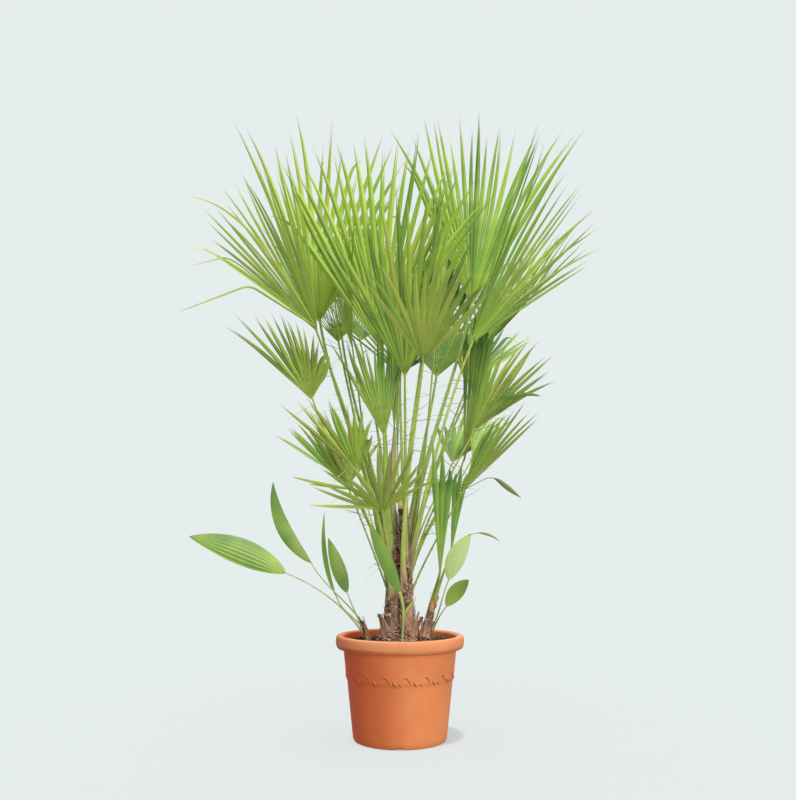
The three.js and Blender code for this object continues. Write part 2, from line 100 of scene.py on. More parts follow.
def addSolid(store, rows, slot=0, ends=(0, 0), turned=False, uvAt=None):
    # a closed grid with a cap at each end; turned swaps the sides that the caps look to
    base = addGrid(store, rows, slot, closed=True, uvAt=uvAt)
    count = len(rows[0])
    last = base + (len(rows) - 1) * count
    for start, endSlot, flip in ((base, ends[0], not turned), (last, ends[1], turned)):
        ring = tuple(range(start, start + count))
        store["faces"].append(ring[::-1] if flip else ring)
        store["slots"].append(endSlot)


def frameAlong(points):
    # the direction at each point, and a side direction that turns as little as possible
    last = len(points) - 1
    tangents = [(points[min(last, i + 1)] - points[max(0, i - 1)]).normalized() for i in range(last + 1)]
    side = tangents[0].orthogonal().normalized()
    sides = []
    for tangent in tangents:
        side = (side - tangent * side.dot(tangent)).normalized()
        sides.append(side.copy())
    return tangents, sides


def addTube(store, points, radii, sides, slot=0, capped=True):
    rows = []
    for point, tangent, side, radius in zip(points, *frameAlong(points), radii):
        other = tangent.cross(side)
        rows.append([point + (side * cos(a) + other * sin(a)) * radius for a in turns(sides)])
    if capped:
        addSolid(store, rows, slot, (slot, slot))
    else:
        addGrid(store, rows, slot, closed=True)


def bezier(a, b, c, d, t):
    s = 1 - t
    return a * (s * s * s) + b * (3 * s * s * t) + c * (3 * s * t * t) + d * (t * t * t)


def bezierTangent(a, b, c, d, t):
    s = 1 - t
    return ((b - a) * (s * s) + (c - b) * (2 * s * t) + (d - c) * (t * t)).normalized()


def addObject(name, data):
    made = bpy.data.objects.new(name, data)
    bpy.context.scene.collection.objects.link(made)
    return made


def faceOf(along, turn):
    # the side of a blade that looks to the front, turned about the blade's length
    face = (front - along * front.dot(along)).normalized()
    face.rotate(Matrix.Rotation(radians(turn), 3, along))
    return face


def finishPiece(name, store, colours, nodes=(), smooth=True):
    mesh = bpy.data.meshes.new(name)
    mesh.from_pydata([tuple(p) for p in store["points"]], [], store["faces"])
    for colour in colours:
        mesh.materials.append(materials[colour])
    mesh.polygons.foreach_set("material_index", store["slots"])
    mesh.polygons.foreach_set("use_smooth", [smooth] * len(mesh.polygons))
    uvLayer = mesh.uv_layers.new(name="surface")
    flat = []
    for loop in mesh.loops:
        flat.extend(store["uvs"][loop.vertex_index])
    uvLayer.data.foreach_set("uv", flat)
    mesh.update()
    piece = addObject(name, mesh)
    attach(piece, "root")
    if nodes:
        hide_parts(*nodes)


# Camera
cameraSettings = {
    "place": (-4.8, -2025, 466.5),
    "tilt": 10.45,
    "lens": 35.19,
    "sensor": 36,
}


def addCamera():
    data = bpy.data.cameras.new("camera")
    data.lens = cameraSettings["lens"]
    data.sensor_width = cameraSettings["sensor"]
    data.clip_start = 0.05
    data.clip_end = 60
    camera = addObject("camera", data)
    camera.location = place(cameraSettings["place"])
    camera.rotation_euler = (radians(90 + cameraSettings["tilt"]), 0, 0)
    bpy.context.scene.camera = camera


addCamera()
bpy.context.scene.view_settings.view_transform = "Standard"
print("camera ready")


# Materials, by name
materials = {}


def fillInputs(tree, node, inputs):
    # each input takes a plain value or the output of another node
    for name, value in inputs.items():
        if isinstance(value, bpy.types.NodeSocket):
            tree.links.new(value, node.inputs[name])
        else:
            node.inputs[name].default_value = value


def newNode(tree, kind, inputs):
    node = tree.nodes.new("ShaderNode" + kind)
    fillInputs(tree, node, inputs)
    return node


def newMaterial(name):
    material = bpy.data.materials.new(name)
    material.use_nodes = True
    materials[name] = material
    return material.node_tree, newNode(material.node_tree, "TexCoord", {}).outputs


def finishMaterial(tree, colour, roughness, sheen, height, strength, distance):
    bump = newNode(tree, "Bump", {"Height": height, "Strength": strength, "Distance": distance})
    fillInputs(tree, tree.nodes["Principled BSDF"], {
        "Base Color": colour, "Roughness": roughness, "Specular IOR Level": sheen,
        "Normal": bump.outputs["Normal"]})


def rampOf(tree, factor, stops):
    ramp = newNode(tree, "ValToRGB", {"Fac": factor})
    elements = ramp.color_ramp.elements
    while len(elements) < len(stops):
        elements.new(0.5)
    for element, (position, colour) in zip(elements, stops):
        element.position = position
        element.color = (*colour, 1)
    return ramp.outputs["Color"]


def noiseOf(tree, where, scale, detail=3, roughness=0.55):
    inputs = {"Vector": where, "Scale": scale, "Detail": detail, "Roughness": roughness}
    return newNode(tree, "TexNoise", inputs).outputs["Fac"]


def stretched(tree, where, scale):
    return newNode(tree, "Mapping", {"Vector": where, "Scale": scale}).outputs["Vector"]


def axisOf(tree, where, axis):
    return newNode(tree, "SeparateXYZ", {"Vector": where}).outputs[axis]


def rangeOf(tree, value, low, high):
    return newNode(tree, "MapRange", {"Value": value, "From Min": low, "From Max": high}).outputs["Result"]


def blendOf(tree, share, first, second, kind="MIX"):
    blend = newNode(tree, "MixRGB", {"Fac": share, "Color1": first, "Color2": second})
    blend.blend_type = kind
    return blend.outputs["Color"]


def tinted(colour, share):
    return tuple(clamp(c * share) for c in colour)


leafLook = {"roughness": 0.46, "sheen": 0.35, "veinBump": 0.2, "patchScale": 7, "veinShade": 0.76,
            "veinLight": 1.2, "warmest": 0.55}


def leafMaterial(name, colour, warm, veins=5):
    # fine veins run along the leaflet, and broad patches turn the green towards yellow
    tree, where = newMaterial(name)
    vein = noiseOf(tree, stretched(tree, where["UV"], (veins, 1.6, 1)), 1, 2)
    shades = [(0.34, tinted(colour, leafLook["veinShade"])), (0.5, colour),
              (0.66, tinted(colour, leafLook["veinLight"]))]
    patch = noiseOf(tree, where["Object"], leafLook["patchScale"], 2)
    patches = rampOf(tree, patch, [(0.42, (0, 0, 0)), (0.75, (leafLook["warmest"],) * 3)])
    green = blendOf(tree, patches, rampOf(tree, vein, shades), (*warm, 1))
    finishMaterial(tree, green, leafLook["roughness"], leafLook["sheen"], vein, leafLook["veinBump"], 0.0006)


def fibreMaterial(name, dark, light, scale, stretchZ=0.18, roughness=0.9):
    tree, where = newMaterial(name)
    grain = noiseOf(tree, stretched(tree, where["Object"], (1, 1, stretchZ)), scale, 6, 0.7)
    middle = tuple(mix(a, b, 0.45) for a, b in zip(dark, light))
    colour = rampOf(tree, grain, [(0.32, dark), (0.52, middle), (0.7, light)])
    finishMaterial(tree, colour, roughness, 0.2, grain, 0.6, 0.0012)


# painted shade on the pot's left and lit right sides: where the change starts and ends, and its stops
white = (1, 1, 1)
wallPaintedShade = (-0.13, 0.12, [(0, (0.85, 0.36, 0.23)), (0.6, white), (0.75, white), (1, (0.89, 0.91, 0.92))])
rimPaintedShade = (-0.163, 0.163, [(0, (0.78, 0.44, 0.36)), (0.14, white), (0.8, white), (1, (0.9, 0.91, 0.92))])


def terracottaMaterial(name, colour, dark, pale, shade=wallPaintedShade):
    tree, where = newMaterial(name)
    cloud = noiseOf(tree, where["Object"], 9, 4, 0.6)
    clouds = rampOf(tree, cloud, [(0.3, dark), (0.5, colour), (0.72, pale)])
    speck = noiseOf(tree, where["Object"], 420, 2, 0.5)
    specks = rampOf(tree, speck, [(0.62, (0, 0, 0)), (0.8, (0.35, 0.35, 0.35))])
    clay = blendOf(tree, specks, clouds, (*pale, 1))
    # painted shade: the side away from the key sun is darker and redder, the lit right side a little darker
    low, high, stops = shade
    paintedSideShade = rampOf(tree, rangeOf(tree, axisOf(tree, where["Object"], "X"), low, high), stops)
    clay = blendOf(tree, 1, clay, paintedSideShade, "MULTIPLY")
    finishMaterial(tree, clay, 0.62, 0.12, speck, 0.12, 0.0006)


def stalkMaterial(name, dark, light):
    # a green stalk that turns into brown fibre at its foot; its length runs along V
    tree, where = newMaterial(name)
    grain = noiseOf(tree, stretched(tree, where["Object"], (1, 1, 0.05)), 90, 6, 0.7)
    green = rampOf(tree, grain, [(0.32, dark), (0.7, light)])
    brown = rampOf(tree, grain, [(0.35, (0.11, 0.06, 0.03)), (0.65, (0.42, 0.3, 0.17))])
    uneven = newNode(tree, "Math", {0: grain, 1: -0.16, 2: axisOf(tree, where["UV"], "Y")})
    uneven.operation = "MULTIPLY_ADD"
    fade = rangeOf(tree, uneven.outputs["Value"], -0.04, 0.08)
    finishMaterial(tree, blendOf(tree, fade, brown, green), 0.5, 0.2, grain, 0.5, 0.001)


greens = {
    "bright": (0.235, 0.37, 0.03),
    "lime": (0.311, 0.437, 0.041),
    "mid": (0.156, 0.278, 0.028),
    "deep": (0.078, 0.172, 0.017),
    "shade": (0.057, 0.134, 0.016),
    "blue": (0.098, 0.218, 0.052),
    "olive": (0.279, 0.332, 0.046),
    "oliveDark": (0.156, 0.207, 0.024),
    "young": (0.082, 0.162, 0.019),
    "youngLight": (0.33, 0.43, 0.17),
}
warmTint = (0.4, 0.47, 0.06)
for key, colour in greens.items():
    leafMaterial("leaf_" + key, colour, warmTint)
leafMaterial("leaf_late", (0.08, 0.096, 0.02), (0.13, 0.145, 0.035))
leafMaterial("leaf_hub", (0.17, 0.2, 0.03), (0.24, 0.22, 0.045))
leafMaterial("leaf_rib", (0.37, 0.5, 0.06), (0.44, 0.5, 0.09), veins=6)
stalkMaterial("stalk_green", (0.135, 0.208, 0.03), (0.29, 0.368, 0.068))
stalkMaterial("stalk_yellow", (0.245, 0.288, 0.048), (0.395, 0.436, 0.104))

# dark and light colour and the fineness of the grain, for some its stretch upwards and the roughness
fibres = {
    "leaf_tip_dry": ((0.3, 0.2, 0.08), (0.52, 0.42, 0.2), 160),
    "young_stalk": ((0.2, 0.235, 0.065), (0.39, 0.42, 0.16), 90, 0.05, 0.5),
    "thread_green": ((0.08, 0.12, 0.02), (0.23, 0.28, 0.06), 200),
    "stalk_base": ((0.15, 0.13, 0.055), (0.38, 0.35, 0.15), 120, 0.06),
    "thread_pale": ((0.3, 0.38, 0.08), (0.5, 0.54, 0.19), 200),
    "bark": ((0.05, 0.021, 0.014), (0.355, 0.192, 0.118), 150),
    "bark_red": ((0.038, 0.014, 0.009), (0.185, 0.08, 0.042), 180),
    "leaf_base": ((0.126, 0.054, 0.03), (0.503, 0.294, 0.182), 130),
    "leaf_base_cut": ((0.18, 0.11, 0.065), (0.4, 0.29, 0.18), 220),
    "fibre_tan": ((0.3, 0.18, 0.12), (0.64, 0.47, 0.35), 260),
    "sheath_orange": ((0.28, 0.11, 0.03), (0.6, 0.33, 0.1), 120),
    "compost": ((0.012, 0.008, 0.006), (0.075, 0.045, 0.028), 210, 1),
    "compost_crumb": ((0.03, 0.018, 0.012), (0.17, 0.1, 0.06), 240, 1),
}
for name, look in fibres.items():
    fibreMaterial(name, *look)

# the colour, its dark and its pale clouds
terracottaMaterial("terracotta", (0.455, 0.14, 0.048), (0.422, 0.121, 0.04), (0.488, 0.16, 0.058))
# painted highlight: a paler band along the top edge of the rim
terracottaMaterial("terracotta_painted_highlight", (0.52, 0.215, 0.11), (0.48, 0.17, 0.08), (0.56, 0.27, 0.15), rimPaintedShade)
terracottaMaterial("terracotta_rim", (0.452, 0.162, 0.066), (0.425, 0.142, 0.055), (0.48, 0.186, 0.08),
                   rimPaintedShade)
# painted shadow beside the relief's raised lines
terracottaMaterial("terracotta_painted_shadow", (0.217, 0.052, 0.017), (0.174, 0.041, 0.014), (0.29, 0.072, 0.026))
print("materials ready")


# Pot
pot = {
    "height": 245,
    "rimRadius": 160,
    "rimDepth": 31,
    "footRadius": 113,
    "wall": 4,
    "slope": 0.116,
    "ledgeHeight": 146,
    "ledgeStep": 1.5,
    "around": 256,
    "motifs": 17,
    "notchHalf": 5.2,
    "notchHeight": 4,
    "soilHeight": 228,
    "rimSteps": 30,
    "rimRows": 10,
    "highlightAfter": 17,
    "highlightRows": 12,
}


def wallRadius(z, ledge=pot["ledgeHeight"]):
    step = pot["ledgeStep"] * clamp((z - ledge + 4) / 8)
    return pot["footRadius"] + 1 + pot["slope"] * z + step


def wallAbove(z):
    # the wall as it is above the ledge, carried on downwards
    return wallRadius(z, -10)


def garland(angle):
    # the ledge's edge is a little uneven under each motif of the relief
    t = (angle * pot["motifs"] / tau) % 1
    return 1.6 * sin(t * tau)


def ringAt(radius, z, count):
    return [aroundPot(radius, angle, z) for angle in turns(count)]


def potRing(radius, z, followsLedge=False):
    row = []
    for angle in turns(pot["around"]):
        r = wallRadius(z, pot["ledgeHeight"] - 3 + garland(angle)) if followsLedge else radius
        rise = 0
        if z < pot["notchHeight"] and radius > pot["footRadius"] - 10:
            quarter = (degrees(angle) + 45) % 90 - 45
            rise = pot["notchHeight"] - z if abs(quarter) < pot["notchHalf"] else 0
        row.append(aroundPot(r, angle, z + rise))
    return row


def buildPot():
    store = newStore()
    foot = pot["footRadius"]
    rim = pot["rimRadius"]
    top = pot["height"]
    rimFoot = top - pot["rimDepth"]
    rows = [ringAt(0.5, 0, pot["around"])]
    rows += [potRing(foot - inside, z) for inside, z in ((11, 0), (9, 0), (3, 0), (0.8, 0.8), (0, 2.6))]
    rows += [potRing(wallRadius(z), z) for z in range(6, 136, 10)]
    rows += [potRing(0, 136 + 0.6 * i, followsLedge=True) for i in range(30)]
    rows += [potRing(wallRadius(z), z) for z in (*range(156, int(rimFoot) - 2, 8), rimFoot - 3)]
    rows += [potRing(wallRadius(rimFoot) + out, rimFoot - under) for out, under in ((0.8, 1.2), (5, 1.6))]
    # from this row on, the rim's top edge takes the painted highlight
    highlightFrom = len(rows) + pot["highlightAfter"]
    middle = rimFoot + pot["rimDepth"] / 2
    half = pot["rimDepth"] / 2
    for i in range(pot["rimSteps"]):
        # the rolled rim has a nearly straight side, fuller above its middle
        angle = radians(mix(-80, 170, i / (pot["rimSteps"] - 1)))
        squarer = copysign(abs(cos(angle)) ** 0.55, cos(angle))
        out = rim - 10 + 10 * squarer + 0.8 * sin(angle) - 0.8
        rows.append(potRing(out, middle + half * copysign(abs(sin(angle)) ** 0.9, sin(angle))))
    lip = wallRadius(top - 10) - pot["wall"]
    rows += [potRing(rim - 19, top - 2.2), potRing(lip + 1.5, top - 5), potRing(lip, top - 10)]
    rows += [potRing(wallRadius(z) - pot["wall"], z) for z in range(230, 10, -20)]
    rows += [potRing(wallRadius(8) - pot["wall"], 6), ringAt(0.5, 6, pot["around"])]

    def slotAt(j):
        if highlightFrom <= j < highlightFrom + pot["highlightRows"]:
            return 1
        return 2 if highlightFrom - pot["rimRows"] <= j < highlightFrom else 0

    addSolid(store, rows, slotAt)
    store["faces"] = [tuple(reversed(face)) for face in store["faces"]]
    finishPiece("pot_body", store, ["terracotta", "terracotta_painted_highlight", "terracotta_rim"], ["pot"])


relief = {"bead": 1.7, "paintedShadowSize": 1.1, "paintedShadowTurn": -0.012, "paintedShadowDrop": 0.6, "steps": 12, "strokeSteps": 6,
          "crownAt": 0.4}
# the short strokes beside each arch: where they start, how high, how far they fall and their radius
strokes = [(0.66, 9, 13, 2.3), (0.92, 5, 7, 1.5)]


def addBead(store, path, radius, slot, sink):
    # a raised line on the wall, pointed at both ends; path gives (turn in radians, height)
    points = []
    for angle, z in path:
        r = wallAbove(z) - sink - (1.6 if z < pot["ledgeHeight"] - 2 else 0)
        points.append(aroundPot(r, angle, z))
    radii = [radius * mm * (0.3 + 0.7 * sin(pi * t)) for t in shares(len(path) - 1)]
    addTube(store, points, radii, 8, slot)


def buildRelief():
    # a band of arches with strokes beside them; painted shadow lies below and left of every raised line
    store = newStore()
    pitch = tau / pot["motifs"]
    ledge = pot["ledgeHeight"]
    crownAt = relief["crownAt"]

    def addLine(path, radius):
        addBead(store, path, radius, 0, 0.5)
        # painted shadow: a dark line set lower and to the left of the raised one, nearly flush
        paintedShadowPath = [(angle + relief["paintedShadowTurn"], z - radius * relief["paintedShadowDrop"]) for angle, z in path]
        addBead(store, paintedShadowPath, relief["paintedShadowSize"] * radius, 1, 0.95)

    for m in range(pot["motifs"]):
        start = m * pitch
        arch = []
        for t in shares(relief["steps"]):
            if t < crownAt:
                arch.append((start + pitch * 0.3 * t / crownAt, ledge + 7 + 11 * sin(t / crownAt * pi / 2)))
            else:
                past = (t - crownAt) / (1 - crownAt)
                arch.append((start + pitch * mix(0.3, 0.58, past), ledge + 18 - 21 * past ** 1.3))
        addLine(arch, relief["bead"])
        for shift, high, fall, radius in strokes:
            addLine([(start + pitch * (shift + 0.17 * t), ledge + high - fall * t)
                     for t in shares(relief["strokeSteps"])], radius)
    finishPiece("pot_relief", store, ["terracotta", "terracotta_painted_shadow"])


buildPot()
buildRelief()
print("pot ready")


# Compost
compost = {"rings": 46, "around": 120, "roughness": 3.2, "chunkSides": 6, "chunkRows": 4, "seed": 31}


def buildCompost():
    store = newStore()
    edge = wallAbove(pot["soilHeight"]) - pot["wall"] - 0.4
    around = compost["around"]
    rows = []
    for share in shares(compost["rings"]):
        r = max(0.6, edge * share)
        row = []
        for angle in turns(around):
            x, y = r * sin(angle), -r * cos(angle)
            bumpy = noise.fractal(Vector((x * 0.05, y * 0.05, 3.1)), 1, 2, 5)
            rise = compost["roughness"] * bumpy * (1 - share ** 8) + 1.5 * (1 - share) ** 2
            row.append(place((x, y, pot["soilHeight"] - 1 + rise)))
        rows.append(row)
    for z in (200, 150, 100, 50, 7):
        rows.append(ringAt(wallRadius(z) - pot["wall"] - 0.5, z, around))
    rows.append(ringAt(0.6, 7, around))
    addSolid(store, rows)
    finishPiece("compost_bed", store, ["compost"], ["soil"])


def addChunk(store, centre, size, stretch, rng, slot):
    # a rough lump: a small ball pulled out of round, turned any way
    angle = rng.random() * tau
    turn = Matrix.Rotation(angle, 3, Vector((rng.random() - 0.5, rng.random() - 0.5, 0.4)).normalized())
    rows = []
    for j, t in enumerate(shares(compost["chunkRows"])):
        polar = pi * mix(0.06, 0.94, t)
        row = []
        for angle in turns(compost["chunkSides"]):
            angle += j * 0.3
            reach = size * (0.75 + 0.5 * rng.random())
            local = Vector((sin(polar) * cos(angle) * stretch[0],
                            sin(polar) * sin(angle) * stretch[1], cos(polar) * stretch[2])) * reach
            row.append(centre + (turn @ local) * mm)
        rows.append(row)
    addSolid(store, rows, slot, (slot, slot), turned=True)


# what lies loose on the compost; a bit's size is the least plus a share of more, its slots the two colours
crumbKinds = [
    {"count": 1500, "least": 0.8, "more": 2.6, "power": 3, "lift": 0.4, "rise": 0.3,
     "stretch": (1, 0.85, 0.7), "slots": (0, 1), "firstShare": 0.7},
    {"count": 150, "least": 2.2, "more": 2.4, "power": 1, "lift": 1.5, "rise": 0,
     "stretch": (1.9, 0.8, 0.35), "slots": (1, 2), "firstShare": 0.5},
]


def buildCrumbs():
    store = newStore()
    rng = random.Random(compost["seed"])
    edge = wallAbove(pot["soilHeight"]) - pot["wall"] - 5
    for kind in crumbKinds:
        for i in range(kind["count"]):
            r = edge * sqrt(rng.random())
            angle = rng.random() * tau
            size = kind["least"] + kind["more"] * rng.random() ** kind["power"]
            centre = aroundPot(r, angle, pot["soilHeight"] + kind["lift"] + size * kind["rise"])
            slot = kind["slots"][0 if rng.random() < kind["firstShare"] else 1]
            addChunk(store, centre, size, kind["stretch"], rng, slot)
    finishPiece("compost_crumbs", store, ["compost", "compost_crumb", "leaf_base"], smooth=False)


buildCompost()
buildCrumbs()
print("compost ready")


# Stems
stemLook = {"sides": 44, "rows": 90, "flareFade": 26, "ridge": 1.8, "lump": 0.1, "stubLength": 36,
            "stubSteps": 9, "stubScales": 2.4}
stems = {
    "left": {"foot": (-21, 10), "top": (-8, 12, 490), "flare": 23, "base": 16, "end": 12, "stubs": 12,
             "stubTop": 120, "seed": 5, "fibres": 900},
    "right": {"foot": (20, -2), "top": (7, 2, 556), "flare": 21, "base": 13, "end": 10, "stubs": 10,
              "stubTop": 120, "seed": 11, "fibres": 800, "redFrom": 34},
    "offset": {"foot": (58, -18), "top": (85, -20, 336), "flare": 8, "base": 8, "end": 5, "stubs": 4,
               "stubTop": 30, "seed": 19, "fibres": 220},
    "sucker": {"foot": (-80, 28), "top": (-97, 26, 276), "flare": 5, "base": 6, "end": 4, "stubs": 0,
               "stubTop": 0, "seed": 23, "fibres": 26},
}
# torn feet of old leaves that stand off the stem: height, angle, length and how far they stand off
boots = {
    "left": [(236, 213, 56, 24), (240, 196, 50, 18), (234, 240, 60, 8), (246, 228, 50, 12),
             (252, 290, 64, 6), (290, 290, 66, 3), (282, 200, 60, 4)],
    "right": [(234, 300, 76, 13), (238, 350, 60, 17), (234, 5, 50, 24), (235, 338, 52, 26),
              (240, 262, 54, 8), (300, 320, 66, 5), (330, 275, 60, 4), (236, 325, 46, 18)],
    "offset": [(240, 250, 44, 3), (238, 330, 40, 8), (235, 185, 46, 9), (236, 215, 52, 5)],
}
stemFoot = pot["soilHeight"] + 0.3


def stemShare(stem, z):
    return clamp((z - stemFoot) / (stem["top"][2] - stemFoot))


def stemCentre(stem, z):
    t = stemShare(stem, z)
    return Vector((mix(stem["foot"][0], stem["top"][0], t), mix(stem["foot"][1], stem["top"][1], t), z))


def stemRadius(stem, z):
    taper = mix(stem["base"], stem["end"], stemShare(stem, z) ** 0.8)
    return taper + stem["flare"] * exp((stemFoot - z) / stemLook["flareFade"])


def aroundStem(centre, radius, angle, lift=0):
    return (centre + Vector((radius * cos(angle), radius * sin(angle), lift))) * mm


def addShaft(store, stem):
    rows = []
    for t in shares(stemLook["rows"]):
        z = mix(stemFoot, stem["top"][2], t ** 1.1)
        centre = stemCentre(stem, z)
        row = []
        for angle in turns(stemLook["sides"]):
            x, y = cos(angle), sin(angle)
            streak = noise.fractal(Vector((x * 3.5, y * 3.5, z * 0.035 + stem["seed"])), 1, 2, 5)
            lump = noise.noise(Vector((x * 1.3, y * 1.3, z * 0.02 + stem["seed"] * 3)))
            r = stemRadius(stem, z) * (1 + stemLook["lump"] * lump) + stemLook["ridge"] * streak
            row.append(aroundStem(centre, r, angle))
        rows.append(row)
    red = stem.get("redFrom", stemLook["rows"])
    addSolid(store, rows, lambda j: 3 if j > red else 0)


def addLeafBase(store, stem, z, angle, length, rng, lift=None):
    # the woody foot of an old leaf: a boat-shaped scale that hugs the stem and ends in a torn stub
    steps = wide = stemLook["stubSteps"]
    spread = radians(mix(26, 44, rng.random()))
    narrow = 0.7
    if lift is None:
        lift = mix(1, 8, rng.random() ** 2)
        narrow = 0.86
    else:
        spread *= 1.35
    lean = rng.gauss(0, 0.12)
    rows = []
    for t in shares(steps):
        height = z + length * t
        centre = stemCentre(stem, height)
        radius = stemRadius(stem, height) * 0.96 + lift * t ** 1.6
        half = spread * (1 - narrow * t ** 1.3)
        thick = mix(2.6, 1.2, t)
        outer, inner = [], []
        for k in range(wide):
            s = k / (wide - 1) * 2 - 1
            turn = angle + half * s + lean * t
            crown = 1 - s * s
            tear = 2.4 * noise.noise(Vector((s * 4, t * 5, z))) * t
            jag = (rng.random() - 0.5) * 9 if t == 1 else 0
            outer.append(aroundStem(centre, radius + thick * (0.5 + crown) + tear, turn, jag))
            inner.append(aroundStem(centre, radius - thick * 0.6, turn, jag))
        rows.append(outer + inner[::-1])
    kind = 1 if rng.random() < 0.6 else 0
    addSolid(store, rows, lambda j: kind if j < steps - 1 else 2, (kind, 2))


def buildStems():
    pieces = {"stem_pair": ("left", "right"), "stem_offset": ("offset",), "stem_sucker": ("sucker",)}
    for node, names in pieces.items():
        store = newStore()
        for name in names:
            stem = stems[name]
            rng = random.Random(stem["seed"])
            addShaft(store, stem)
            count = round(stem["stubs"] * stemLook["stubScales"])
            for i in range(count):
                z = stemFoot + 4 + (i + 0.5) / count * stem["stubTop"]
                angle = radians(i * goldenAngle + stem["seed"] * 10)
                addLeafBase(store, stem, z, angle, stemLook["stubLength"] * mix(0.6, 1.5, rng.random()), rng)
            for z, turn, length, lift in boots.get(name, []):
                addLeafBase(store, stem, z, radians(turn), length, rng, lift)
        finishPiece(node + "_bark", store, ["bark", "leaf_base", "leaf_base_cut", "bark_red"], [node])


def buildSheath():
    # the dry orange sheath round the top of the offset's stem
    store = newStore()
    rng = random.Random(41)
    stem = stems["offset"]
    for z, turn, length, lift in ((302, 265, 40, 3), (308, 300, 44, 4), (300, 330, 36, 6)):
        addLeafBase(store, stem, z, radians(turn), length, rng, lift)
    store["slots"] = [0] * len(store["slots"])
    finishPiece("stem_sheath", store, ["sheath_orange"])


def buildFibres():
    # loose brown threads of the old leaf sheaths, wound round the stems
    store = newStore()
    for name, stem in stems.items():
        rng = random.Random(stem["seed"] + 100)
        high = stem["top"][2] - stemFoot
        for i in range(stem["fibres"]):
            z = stemFoot + 3 + high * 0.92 * rng.random() ** 1.3
            angle = rng.random() * tau
            length = mix(3, 42, rng.random())
            turn = rng.gauss(0, 1.5)
            stand = mix(0.5, 9, rng.random() ** 3)
            lie = mix(1.5, 7, rng.random()) * (0.4 if name in ("offset", "sucker") else 1)
            points = []
            for t in shares(6):
                height = min(z + length * t * mix(0.5, 1, rng.random() * 0.1 + 0.9), stem["top"][2] + 12)
                centre = stemCentre(stem, height)
                r = stemRadius(stem, height) + lie + stand * t * t
                points.append(aroundStem(centre, r, angle + turn * t))
            thick = mix(0.35, 1.5, rng.random() ** 2.5) * mm
            addTube(store, points, tapered(thick, 0.7, 6), 3, 0 if rng.random() < 0.65 else 1)
    finishPiece("stem_fibres", store, ["fibre_tan", "bark_red"])


buildStems()
buildSheath()
buildFibres()
print("stems ready")


# Fans
fanLook = {
    "fold": 0.44,
    "bareSteps": 5,
    "freeSteps": 12,
    "cup": 0.035,
    "footSink": 10,
    "rib": 0.34,
    "layers": 0.2,
    "layerTurn": 97,
    "layerRise": 5,
    "twist": 0.24,
    "sway": 0.03,
    "kinkShare": 0.035,
    "dryShare": 0.16,
    "tipGap": 0.55,
    "threadShare": 0.5,
    "thread": 0.5,
    "closed": 20,
}
# what a fan does unless its row says otherwise. Leaflets: the undivided share, how many for each of the
# solid's, their length in all, at the edges, on one side and by chance, narrowness, width in mm, looseness
# and droop. Stalk: how straight, its swing, distance from the stem, thickness, broad foot and colour.
fanHabit = {"split": 0.37, "finer": 1.1, "long": 1, "edge": 0.16, "lean": 0, "uneven": 0.1, "slim": 1,
            "wide": 0, "loose": 1, "droop": 0.02, "straight": 0.36, "swing": 0, "ring": 0.8, "stout": 1,
            "broad": 2.2, "stalk": 0}


def fanRow(name, stem, foot, hub, tip, turn, spread, leaflets, greens="mid bright deep blue", **own):
    return {**fanHabit, "name": name, "stem": stem, "foot": foot, "hub": hub, "tip": tip, "turn": turn,
            "spread": spread, "leaflets": leaflets, "greens": greens, **own}


